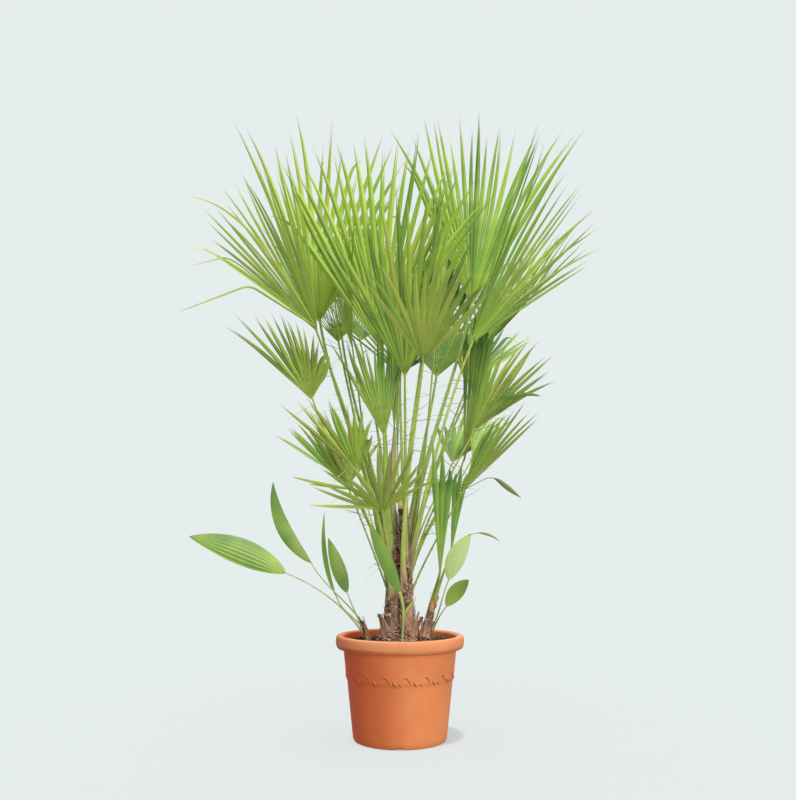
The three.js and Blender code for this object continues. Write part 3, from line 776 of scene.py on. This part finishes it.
# each fan: its stem, the height of its stalk's foot, the hub, the tip of its middle leaflet, how far its
# face turns away, the angle between its outer edges, its leaflets and its greens, the commonest first
fans = [
    fanRow("fan_front", "right", 345, (57, -165, 914), (69, -360, 1111), 0, 76, 15,
           "olive oliveDark olive mid", swing=-35, ring=1, broad=2.8, finer=0.8, split=0.28, edge=0,
           uneven=0.16, long=1.1, wide=15, stalk=1),
    fanRow("fan_crown", "left", 430, (-51, 20, 994), (-47, -110, 1550), 4, 74, 21, "bright lime bright mid",
           swing=-50, finer=1, long=1.06, edge=0.1, split=0.32, wide=18),
    fanRow("fan_left_side", "left", 385, (-218, -60, 1018), (-435, -130, 1431), -38, 54, 15,
           "bright mid bright olive", finer=1.25, edge=0.08, lean=-0.05, long=1.05, wide=11, split=0.26),
    fanRow("fan_right_side", "right", 400, (191, -20, 995), (491, -80, 1422), 40, 49, 16,
           "mid oliveDark olive deep", droop=0.03, finer=1.2, split=0.26, lean=-0.12, edge=0.06, long=1.08,
           wide=10, stalk=1),
    fanRow("fan_left_high", "left", 400, (-228, 100, 1088), (-176, 60, 1665), 10, 57, 15,
           "mid bright olive bright", lean=-0.1, edge=0, uneven=0.22, long=1.1, wide=16, split=0.26),
    fanRow("fan_right_high", "right", 460, (208, 140, 1150), (242, 110, 1736), 8, 58, 17,
           "mid deep bright mid", lean=0.05, edge=0, uneven=0.14, long=1.08, wide=17, split=0.26),
    fanRow("fan_left_mid", "left", 352, (-221, -120, 828), (-247, -175, 989), -14, 80, 15,
           "oliveDark mid oliveDark oliveDark", broad=0.6, split=0.28, finer=1, lean=-0.48, edge=0,
           long=1.24, wide=13, stalk=1),
    fanRow("fan_right_mid", "right", 366, (186, -110, 749), (324, -190, 953), 34, 54, 13,
           "oliveDark olive oliveDark mid", broad=0.5, split=0.28, finer=0.85, lean=0.12, uneven=0.16,
           long=1.12, wide=13, stalk=1),
    fanRow("fan_right_low", "right", 330, (160, -60, 600), (286, -130, 801), 36, 34, 9,
           "oliveDark mid oliveDark shade", broad=0.5, split=0.3, finer=1, lean=0.22, straight=0.2,
           long=1.12, wide=12),
    fanRow("fan_low_front", "left", 330, (-43, -130, 548), (-52, -300, 684), 8, 112, 13,
           "olive mid oliveDark olive", ring=1, broad=3, stout=1.4, split=0.22, finer=1, loose=1.2,
           uneven=0.2, long=1.15, wide=13, stalk=1),
    fanRow("fan_low_left", "left", 335, (-129, -30, 607), (-234, -80, 782), -16, 32, 5,
           "mid oliveDark olive oliveDark", broad=0.3, split=0.24, straight=0.1, uneven=0.15, edge=0.05,
           long=1.16, wide=13),
    fanRow("fan_low_left_up", "left", 345, (-109, -80, 656), (-134, -150, 800), 4, 78, 11,
           "oliveDark olive mid oliveDark", broad=0.3, split=0.22, finer=1, straight=0.1, lean=-0.45,
           edge=0, uneven=0.12, long=1.22, wide=14, stalk=1),
    fanRow("fan_half_open", "right", 380, (169, 30, 679), (232, 40, 1127), -50, 20, 8,
           "shade deep shade deep", broad=0.5, split=0.74, finer=0.6),
    fanRow("fan_core", "right", 410, (13, -50, 901), (-5, -215, 1335), -20, 64, 13, "mid bright deep olive",
           long=1.08, finer=1, split=0.3, wide=17),
    fanRow("fan_core_right", "right", 430, (107, 170, 948), (162, 185, 1432), -12, 90, 16,
           "blue mid deep blue", long=1.16, edge=0.08, split=0.26, slim=0.85),
    fanRow("fan_core_left", "left", 380, (-169, 160, 1060), (-150, 175, 1530), 12, 90, 16,
           "mid olive mid blue", swing=-15, long=1.2, edge=0.08, split=0.08, slim=0.55),
    fanRow("fan_young_left", "left", 420, (-41, -10, 748), (-89, -40, 1088), 8, 44, 10, "deep mid blue deep",
           stout=2.4, split=0.22, finer=1.3, uneven=0.3, edge=0.05, wide=11),
    fanRow("fan_right_low_back", "right", 360, (202, 125, 703), (260, 190, 860), 20, 44, 8, broad=0.5),
    fanRow("fan_back_left", "left", 410, (-120, 270, 1080), (-270, 450, 1490), 58, 104, 17, split=0.16,
           slim=0.65),
    fanRow("fan_back_mid", "right", 460, (75, 240, 1110), (70, 450, 1550), -5, 104, 17, swing=15, split=0.26,
           slim=0.85),
    fanRow("fan_back_right", "right", 400, (270, 200, 1060), (410, 360, 1480), -58, 104, 17, split=0.26,
           slim=0.85),
    fanRow("fan_back_low_left", "left", 370, (-180, 190, 1053), (-246, 330, 1358), 20, 66, 12, swing=45,
           split=0.16, slim=0.6),
    fanRow("fan_back_low_mid", "right", 400, (1, 215, 965), (18, 430, 1250), 0, 90, 15, split=0.22,
           slim=0.8),
    fanRow("fan_back_low_right", "right", 390, (197, 200, 925), (310, 370, 1200), -15, 62, 12, broad=0.5),
    fanRow("fan_back_foot_left", "left", 340, (-140, 140, 640), (-242, 290, 860), 40, 92, 11, split=0.28,
           long=0.96, uneven=0.12, edge=0, wide=13),
    fanRow("fan_inner_right", "right", 420, (99, 45, 1021), (135, 55, 1493), 78, 82, 14, swing=-15),
    fanRow("fan_inner_left", "left", 340, (-131, 50, 1002), (-198, 40, 1461), -75, 70, 13, swing=24,
           split=0.22, slim=0.8),
    fanRow("fan_back_foot_right", "right", 350, (152, 190, 700), (262, 335, 900), -45, 80, 10, swing=15,
           broad=0.5),
    fanRow("fan_offset_broad", "offset", 322, (97, -80, 391), (109, -105, 745), 0, 13, 3,
           "deep oliveDark deep shade", split=0.66, finer=1, lean=-0.24, long=1.02, wide=34),
    fanRow("fan_offset_narrow", "offset", 312, (130, 0, 447), (164, 0, 692), 10, 12, 3,
           "deep shade deep mid", split=0.74, finer=1),
    fanRow("spear_left", "left", 480, (-14, 14, 757), (-21, 14, 1227), 0, 9, 4, "deep mid deep oliveDark",
           split=0.7, ring=0.3, stout=3.2, broad=0.6, finer=1, stalk=2),
    fanRow("spear_right", "right", 548, (-7, 30, 666), (-2, 40, 1127), 20, 4, 3,
           "oliveDark deep oliveDark deep", split=0.7, finer=1, stalk=1),
]


def bladeFrame(fan):
    hub = Vector(fan["hub"])
    along = Vector(fan["tip"]) - hub
    reach = along.length
    along.normalize()
    hub = hub - along * fanLook["footSink"]
    face = faceOf(along, fan["turn"])
    return hub, along, along.cross(face), face, reach


def widthAlong(s, shortFree, fuller):
    # a leaflet widens for a while past the split, then narrows to its two points
    if shortFree:
        return max(0, 1 - s) ** 0.85
    return mix(1, fuller, sin(min(1, s / 0.4) * pi / 2)) * max(0, 1 - s ** 2.8)


def addLeaflet(store, fan, blade, leaf, rng, slotAt):
    hub, along, across, face, reach = blade
    middle, pitch, length, cup = leaf
    loose = fan["loose"]
    split = reach * fan["split"]
    free = length - split
    sway = rng.gauss(0, fanLook["sway"]) * loose
    curl = rng.gauss(0, fanLook["sway"]) * reach * loose
    sag = (fan["droop"] + abs(rng.gauss(0, 0.012)) * loose) * reach
    twist = rng.gauss(0, fanLook["twist"])
    fork = mix(0.7, 0.88, rng.random())
    kink = rng.random() < fanLook["kinkShare"] * loose
    # crossing leaflets lie one behind the other
    layer = sin(middle * fanLook["layerTurn"]) * fan["wide"] * fanLook["layers"]
    kinkAt = mix(0.5, 0.75, rng.random())
    kinkSize = mix(0.08, 0.2, rng.random()) * reach

    def shareAt(r):
        return max(0, (r - split) / free)

    def centreAt(r):
        s = shareAt(r)
        angle = middle + sway * s * s
        p = hub + (along * cos(angle) + across * sin(angle)) * r
        lift = layer * min(1, s * fanLook["layerRise"])
        p = p + face * (curl * s * s + cup * (r / reach) ** 1.5 + lift)
        fall = sag * s * s
        if kink and s > kinkAt:
            fall += kinkSize * ((s - kinkAt) / (1 - kinkAt)) ** 1.5
        return p - up * fall

    bareSteps, freeSteps = fanLook["bareSteps"], fanLook["freeSteps"]
    radii = [split * (0.04 + 0.96 * j / bareSteps) for j in range(bareSteps + 1)]
    radii += [split + free * (j / freeSteps) ** 0.92 for j in range(1, freeSteps + 1)]
    half = tan(pitch / 2)
    w0 = split * half
    fuller = max(1.35, fan["wide"] / 2 / w0)
    slim = fan["slim"] * mix(0.82, 1.08, rng.random())
    undivided = split > 0.6 * reach
    lengths = {-1: 1, 1: mix(0.93, 1, rng.random())}
    if rng.random() < 0.5:
        lengths = {-1: lengths[1], 1: 1}
    stripes = {-1: [], 1: []}
    ribLine = []
    for r in radii:
        s = shareAt(r)
        centre = centreAt(r)
        t = (centreAt(r + 2) - centreAt(r - 2 if r > 3 else r)).normalized()
        side = across * cos(middle) - along * sin(middle)
        side = (side - t * side.dot(t)).normalized()
        normal = t.cross(side) * -1
        if normal.dot(face) < 0:
            normal.negate()
        turn = Matrix.Rotation(twist * s ** 1.5, 3, t)
        side = turn @ side
        normal = turn @ normal
        for sign in (-1, 1):
            own = min(1, s / lengths[sign]) if s > 0 else 0
            width = r * half if s <= 0 else w0 * widthAlong(own, undivided, fuller) * slim
            fold = fanLook["fold"] * (1 + 0.3 * s)
            outer = centre + side * (sign * width) - normal * (fold * width)
            inner = centre
            if s > fork:
                part = (s - fork) / (1 - fork)
                gap = w0 * fanLook["tipGap"] * part
                inner = centre + side * (sign * width * fanLook["tipGap"] * part) + side * (sign * gap * 0.5)
                outer += side * (sign * gap * 0.5)
            between = (outer + inner) / 2 + normal * (0.06 * width)
            row = [outer, between, inner] if sign < 0 else [inner, between, outer]
            stripes[sign].append([p * mm for p in row])
        if s < fork:
            ribLine.append((centre + normal * 0.25) * mm)
    for sign in (-1, 1):
        offset = 0 if sign < 0 else 1
        addGrid(store, stripes[sign], slotAt, uvAt=lambda j, k: (offset + k / 2, radii[j] * 0.01))
    if not undivided:
        thick = fanLook["rib"] * mm
        count = len(ribLine)
        addTube(store, ribLine, [thick * mix(1.2, 0.45, i / count) for i in range(count)], 4, 1, capped=False)


def stalkPoints(fan, steps):
    stem = stems[fan["stem"]]
    hub, along = bladeFrame(fan)[:2]
    centre = stemCentre(stem, fan["foot"])
    outward = hub - centre
    outward.z = 0
    outward.normalize()
    outward.rotate(Matrix.Rotation(radians(fan["swing"]), 3, "Z"))
    start = centre + outward * stemRadius(stem, fan["foot"]) * fan["ring"]
    end = hub + along * 22
    span = (end - start).length
    rise = (up + outward * 0.22).normalized()
    arrive = ((end - start).normalized() + along * 0.6).normalized()
    straight = fan["straight"]
    corners = (start, start + rise * span * straight, end - arrive * span * straight * 0.83, end)
    return [(bezier(*corners, t), bezierTangent(*corners, t)) for t in shares(steps)]


stalkLook = {"steps": 30, "sides": 10, "least": 3.2, "perReach": 0.0075, "spineGap": 13, "spineLength": 5,
             "spinesFrom": 0.1, "spinesTo": 0.82, "spineGaps": 0.25, "threadGaps": 0.72}


def addStalk(store, fan, rng):
    face, reach = bladeFrame(fan)[3:]
    wide = (stalkLook["least"] + reach * stalkLook["perReach"]) * fan["stout"]
    rows = []
    edges = []
    sides, steps = stalkLook["sides"], stalkLook["steps"]
    for t, (point, forward) in zip(shares(steps), stalkPoints(fan, steps)):
        side = forward.cross(face).normalized()
        outward = side.cross(forward).normalized()
        half = wide / 2 * (0.85 + fan["broad"] * exp(-t / 0.3))
        half *= mix(1, 1 / fan["stout"], clamp((t - 0.6) / 0.4))
        row = []
        for angle in turns(sides):
            flat = (0.45 if sin(angle) > 0 else 0.85) * mix(0.3, 1, clamp(t / 0.12))
            row.append((point + side * (half * cos(angle)) + outward * (half * flat * sin(angle))) * mm)
        rows.append(row)
        edges.append((point, side, forward, half, t))
    ends = (2, fan["stalk"])
    addSolid(store, rows, fan["stalk"], ends, turned=True, uvAt=lambda j, k: (k / sides, j / steps))
    # short hooked spines along both edges, closer near the foot
    if fan["spread"] < fanLook["closed"]:
        return
    travelled = 0
    for before, (point, side, forward, half, t) in zip(edges, edges[1:]):
        travelled += (point - before[0]).length
        if travelled < stalkLook["spineGap"] * mix(0.8, 1.8, t):
            continue
        if not stalkLook["spinesFrom"] <= t <= stalkLook["spinesTo"]:
            continue
        travelled = 0
        for sign in (-1, 1):
            if rng.random() < stalkLook["spineGaps"]:
                continue
            root = point + side * (sign * half * 0.9)
            reachOut = stalkLook["spineLength"] * mix(0.7, 1.2, rng.random())
            tip = root + (side * sign * 0.9 + forward * 0.7).normalized() * reachOut
            points = [root * mm, (root * 0.5 + tip * 0.5) * mm, tip * mm]
            addTube(store, points, [0.8 * mm, 0.5 * mm, 0.08 * mm], 4, 2)


def addThread(store, start, heading, length, rng):
    bend = Vector([rng.gauss(0, 1) for axis in range(3)]).normalized()
    points = []
    for t in shares(9):
        p = start + heading * (length * t) + bend * (length * 0.28 * t * t) - up * (length * 0.35 * t ** 2.2)
        points.append(p * mm)
    addTube(store, points, tapered(fanLook["thread"] * mm, 0.75, 9), 3, 0 if rng.random() < 0.7 else 1)


def buildFan(fan, index, stalks, threads):
    blade = bladeFrame(fan)
    hub, along, across = blade[:3]
    reach = blade[4]
    rng = random.Random(1000 + index * 17)
    half = radians(fan["spread"] / 2)
    split = reach * fan["split"]
    count = round(fan["leaflets"] * fan["finer"])
    pitch = 2 * half / count
    store = newStore()
    commonest, *others = ["leaf_" + key for key in fan["greens"].split()]
    greenSlots = [0, 0, 2, 3, 4]
    lastRows = fanLook["bareSteps"] + fanLook["freeSteps"] - 2
    for i in range(count):
        middle = -half + (i + 0.5) * pitch
        share = middle / half
        shorter = fan["edge"] * share ** 2
        length = reach * fan["long"] * (1 - shorter + fan["lean"] * share - fan["uneven"] * rng.random())
        main = greenSlots[rng.randrange(len(greenSlots))]
        dry = rng.random() < fanLook["dryShare"]

        def slotAt(j, main=main, dry=dry):
            return 5 if j < 1 else 6 if dry and j >= lastRows else main

        leaf = (middle, pitch, max(length, split * 1.2), fanLook["cup"] * reach * share ** 2)
        addLeaflet(store, fan, blade, leaf, rng, slotAt)
        if rng.random() < fanLook["threadShare"] and fan["spread"] > fanLook["closed"]:
            angle = middle + pitch / 2
            outward = along * cos(angle) + across * sin(angle)
            addThread(threads, hub + outward * split, outward, mix(50, 170, rng.random()), rng)
    addStalk(stalks, fan, rng)
    if fan["spread"] > fanLook["closed"]:
        addStalkThreads(threads, fan, rng)
    colours = [commonest, "leaf_rib", *others, "leaf_hub", "leaf_tip_dry"]
    finishPiece(fan["name"] + "_blade", store, colours, [fan["name"]])


# single leaflets that bend away from their fan: root, bend, tip, width, colour, roundness of the bend and
# whether only the part past the bend is broad
strays = [
    ((-218, -62, 1021), (-377, -150, 1106), (-522, -250, 1005), 6, "oliveDark", 0.12, False),
    ((-218, -62, 1021), (-431, -150, 1182), (-501, -250, 1119), 4, "oliveDark", 0.2, False),
    ((-218, -62, 1021), (-475, -190, 1184), (-531, -250, 1161), 3, "lime", 0.2, False),
    ((-218, -62, 1021), (-385, -190, 1299), (-509, -250, 1295), 6, "olive", 0.9, False),
    ((185, -112, 749), (262, -150, 842), (340, -170, 818), 13, "shade", 0.9, False),
    ((160, -62, 600), (227, -95, 634), (295, -110, 577), 13, "late", 0.3, True),
    ((-43, -132, 554), (-129, -180, 552), (-209, -215, 555), 8, "olive", 0.9, False),
    ((9, -77, 296), (19, -82, 318), (37, -86, 333), 6, "olive", 0.9, False),
    ((-127, -30, 605), (-195, -60, 615), (-266, -90, 630), 8, "oliveDark", 0.5, False),
    ((-127, -30, 605), (-176, -50, 611), (-229, -70, 614), 8, "olive", 0.5, False),
]


def bentPoint(a, b, c, rounding, t):
    # two straight runs with a rounded corner between them
    near = 0.5 * rounding
    if t < 0.5 - near:
        return a.lerp(b, t * 2)
    if t > 0.5 + near:
        return b.lerp(c, t * 2 - 1)
    u = (t - 0.5 + near) / (2 * near)
    entry = a.lerp(b, 1 - 2 * near)
    leave = b.lerp(c, 2 * near)
    return entry * (1 - u) ** 2 + b * (2 * u * (1 - u)) + leave * u * u


def buildStrays():
    store = newStore()
    names = ["olive", "bright", "shade", "oliveDark", "lime", "late"]
    for root, bend, tip, wide, colour, rounding, late in strays:
        a, b, c = Vector(root), Vector(bend), Vector(tip)
        rows = []
        for t in shares(40):
            p, after, before = [bentPoint(a, b, c, rounding, clamp(t + step)) for step in (0, 0.02, -0.02)]
            forward = (after - before).normalized()
            side = forward.cross(front).normalized()
            normal = side.cross(forward)
            half = wide / 2 * sin(pi * clamp(0.12 + 0.88 * t)) ** 0.6
            if late:
                half = max(0.8, wide / 2 * sin(pi * clamp(t * 2 - 1)))
            fold = normal * half * 0.4
            rows.append([(p - side * half - fold) * mm, p * mm, (p + side * half - fold) * mm])
        addGrid(store, rows, names.index(colour), uvAt=lambda j, k: (k, j * 0.1))
    finishPiece("bent_leaflets", store, ["leaf_" + n for n in names])


def addStalkThreads(threads, fan, rng):
    # thin pale threads stand off the stalk, most of them nearly level
    path = stalkPoints(fan, 40)
    for i in range(7, 39):
        if rng.random() < stalkLook["threadGaps"]:
            continue
        point = path[i][0]
        sideways = 1 if rng.random() < 0.5 else -1
        heading = Vector((sideways, rng.gauss(0, 0.5), rng.gauss(0.15, 0.45))).normalized()
        length = mix(8, 85, rng.random() ** 2)
        bend = Vector((0, 0, rng.gauss(-0.05, 0.25)))
        points = [(point + heading * (length * t) + bend * (length * t * t)) * mm for t in shares(4)]
        thick = mix(0.6, 1.3, rng.random()) * mm
        addTube(threads, points, tapered(thick, 0.7, 4), 3, 2 if rng.random() < 0.7 else 0)


def buildFans():
    stalks = newStore()
    threads = newStore()
    for index, fan in enumerate(fans):
        buildFan(fan, index, stalks, threads)
    buildStrays()
    finishPiece("fan_stalks", stalks, ["stalk_green", "stalk_yellow", "stalk_base"])
    finishPiece("leaf_threads", threads, ["thread_pale", "leaf_rib", "thread_green"])


buildFans()
print("fans ready")


# Young leaves
youngLook = {"pleats": 7, "along": 44, "pleatDepth": 0.06, "dish": 0.22, "stalkSteps": 24}
# each leaf: how far its stalk leans out, the stalk's foot, the blade's base and tip, the width, how far its
# face turns away, how far it bows up and to the side, and the stalk's radius at its foot and at the blade
youngLeaves = [
    ("leaf_left_low", 0.7, (-90, 26, 240), (-280, -60, 397), (-514, -90, 485), 66, 20, 25),
    ("leaf_left_tall", 0.7, (-93, 28, 268), (-225, 0, 420), (-329, 10, 625), 36, 10, -18, -24),
    ("leaf_left_edge", 0.7, (-92, 24, 256), (-162, 20, 336), (-197, 40, 549), 26, 66, -8, -12),
    ("leaf_left_inner", 0.7, (-90, 32, 248), (-137, 70, 342), (-192, 110, 483), 38, 0, -8),
    ("leaf_front", 0.05, (5, -72, 228.3), (1, -90, 346), (-75, -120, 519), 36, 20, 8, 0, 2.2, 4.2),
    ("leaf_right_pale", 0.7, (78, -22, 262), (120, -50, 380), (176, -66, 492), 46, -10, 4, -8),
    ("leaf_right_small", 0.7, (76, -22, 246), (112, -70, 318), (166, -90, 382), 38, 10, 10),
]
# the narrow end of the pale leaf: where it passes and its radius
paleEnd = [((170, -66, 489), 0.5), ((191, -68, 494), 1), ((205, -70, 493), 3), ((217, -71, 490), 3.4),
           ((231, -72, 484), 2.2), ((246, -74, 473), 0.3)]


def buildYoungLeaf(stalks, name, out, foot, base, tip, width, turn, bow, side=0, thick=2.1, thin=1.3):
    foot, base, tip = Vector(foot), Vector(base), Vector(tip)
    along = (tip - base).normalized()
    face = faceOf(along, turn)
    bend = (base + tip) * 0.5 + up * bow + Vector((side * 2, 0, 0))
    store = newStore()
    wide = youngLook["pleats"] * 4 + 1
    rows = []
    for t in shares(youngLook["along"]):
        p = base * (1 - t) ** 2 + bend * (2 * t * (1 - t)) + tip * t * t
        forward = ((bend - base) * (1 - t) + (tip - bend) * t).normalized()
        across = forward.cross(face).normalized()
        normal = across.cross(forward).normalized()
        half = max(0.5, width / 2 * max(0, sin(pi * t ** 0.85)) ** 0.8)
        row = []
        for k in range(wide):
            s = k / (wide - 1) * 2 - 1
            pleat = abs(((s + 1) / 2 * youngLook["pleats"]) % 1 - 0.5) * 2
            depth = half * (youngLook["pleatDepth"] * pleat - youngLook["dish"] * s * s)
            row.append((p + across * (half * s) + normal * depth) * mm)
        rows.append(row)
    addGrid(store, rows, 1 if name == "leaf_right_pale" else 0, uvAt=lambda j, k: (k / 4, j * 0.02))
    finishPiece(name + "_blade", store, ["leaf_young", "leaf_youngLight"], [name])
    lean = base - foot
    span = lean.length
    lean.z = 0
    rise = (up + lean.normalized() * out).normalized()
    a, b, c, d = foot, foot + rise * span * 0.35, base - along * span * 0.3, base + along * 8
    points = [bezier(a, b, c, d, t) * mm for t in shares(youngLook["stalkSteps"])]
    addTube(stalks, points, [mix(thick, thin, t) * mm for t in shares(youngLook["stalkSteps"])], 8, 0)


def buildYoungLeaves():
    stalks = newStore()
    for row in youngLeaves:
        buildYoungLeaf(stalks, *row)
    addTube(stalks, [place(p) for p, radius in paleEnd], [radius * mm for p, radius in paleEnd], 6, 1)
    finishPiece("young_stalks", stalks, ["young_stalk", "leaf_oliveDark"])


buildYoungLeaves()
print("young leaves ready")


# Floor, light and air
studio = {
    "paper": (0.791, 0.847, 0.847),
    "paperGlow": 0.55,
    "suns": {
        "key": {"towards": (-0.4, 0.58, -0.74), "power": 4.9, "soft": 42},
        "back": {"towards": (0.25, -0.75, -0.8), "power": 1.2, "soft": 30},
    },
    "footSun": {"towards": (0.09, 0.22, -1), "power": 2.3, "soft": 5},
}


def buildFloor():
    # the paper glows a little and takes the light of the air and of the foot sun, so that it shows in the
    # same colour as the air behind the plant
    mesh = bpy.data.meshes.new("floor")
    size = 60
    corners = [(-size, -size), (size, -size), (size, size), (-size, size)]
    mesh.from_pydata([(x, y, -0.0006) for x, y in corners], [], [(0, 1, 2, 3)])
    floor = addObject("floor", mesh)
    tree, where = newMaterial("floor_paper")
    sun = studio["footSun"]
    sunlight = sun["power"] * -Vector(sun["towards"]).normalized().z / pi
    colour = tuple((1 - studio["paperGlow"]) * c / (c + sunlight) for c in studio["paper"])
    grain = noiseOf(tree, where["Object"], 3, 2)
    paper = rampOf(tree, grain, [(0.3, tinted(colour, 0.995)), (0.7, colour)])
    fillInputs(tree, tree.nodes["Principled BSDF"], {
        "Base Color": paper, "Roughness": 1, "Specular IOR Level": 0,
        "Emission Color": (*studio["paper"], 1), "Emission Strength": studio["paperGlow"]})
    mesh.materials.append(materials["floor_paper"])
    return floor


def addSun(name, settings):
    data = bpy.data.lights.new(name, "SUN")
    data.energy = settings["power"]
    data.angle = radians(settings["soft"])
    light = addObject(name, data)
    light.location = (0, 0, 3)
    light.rotation_euler = Vector(settings["towards"]).to_track_quat("-Z", "Y").to_euler()
    return light


def linkGroup(name, pieces, leaveOut=False):
    # the pieces that a light shines on or that block it, or with leaveOut those that it passes over
    group = bpy.data.collections.new(name)
    for piece in pieces:
        group.objects.link(piece)
    for member in group.collection_objects:
        member.light_linking.link_state = "EXCLUDE" if leaveOut else "INCLUDE"
    return group


def buildLight():
    floor = buildFloor()
    for name, settings in studio["suns"].items():
        # the rim throws no hard shade on the wall, as under a wide soft light
        links = addSun(name, settings).light_linking
        links.receiver_collection = linkGroup(name + "_on", [floor], leaveOut=True)
        links.blocker_collection = linkGroup(name + "_shadow", [bpy.data.objects["pot_body"]], leaveOut=True)
    # the soil alone shades the floor, as the rim would throw too wide a shadow
    links = addSun("footSun", studio["footSun"]).light_linking
    links.receiver_collection = linkGroup("footSun_on", [floor])
    links.blocker_collection = linkGroup("footSun_shadow", [bpy.data.objects["compost_bed"]])
    world = bpy.data.worlds.new("air")
    world.use_nodes = True
    tree = world.node_tree
    fillInputs(tree, tree.nodes["Background"], {"Color": (*studio["paper"], 1), "Strength": 1})
    bpy.context.scene.world = world


buildLight()
print("studio ready")
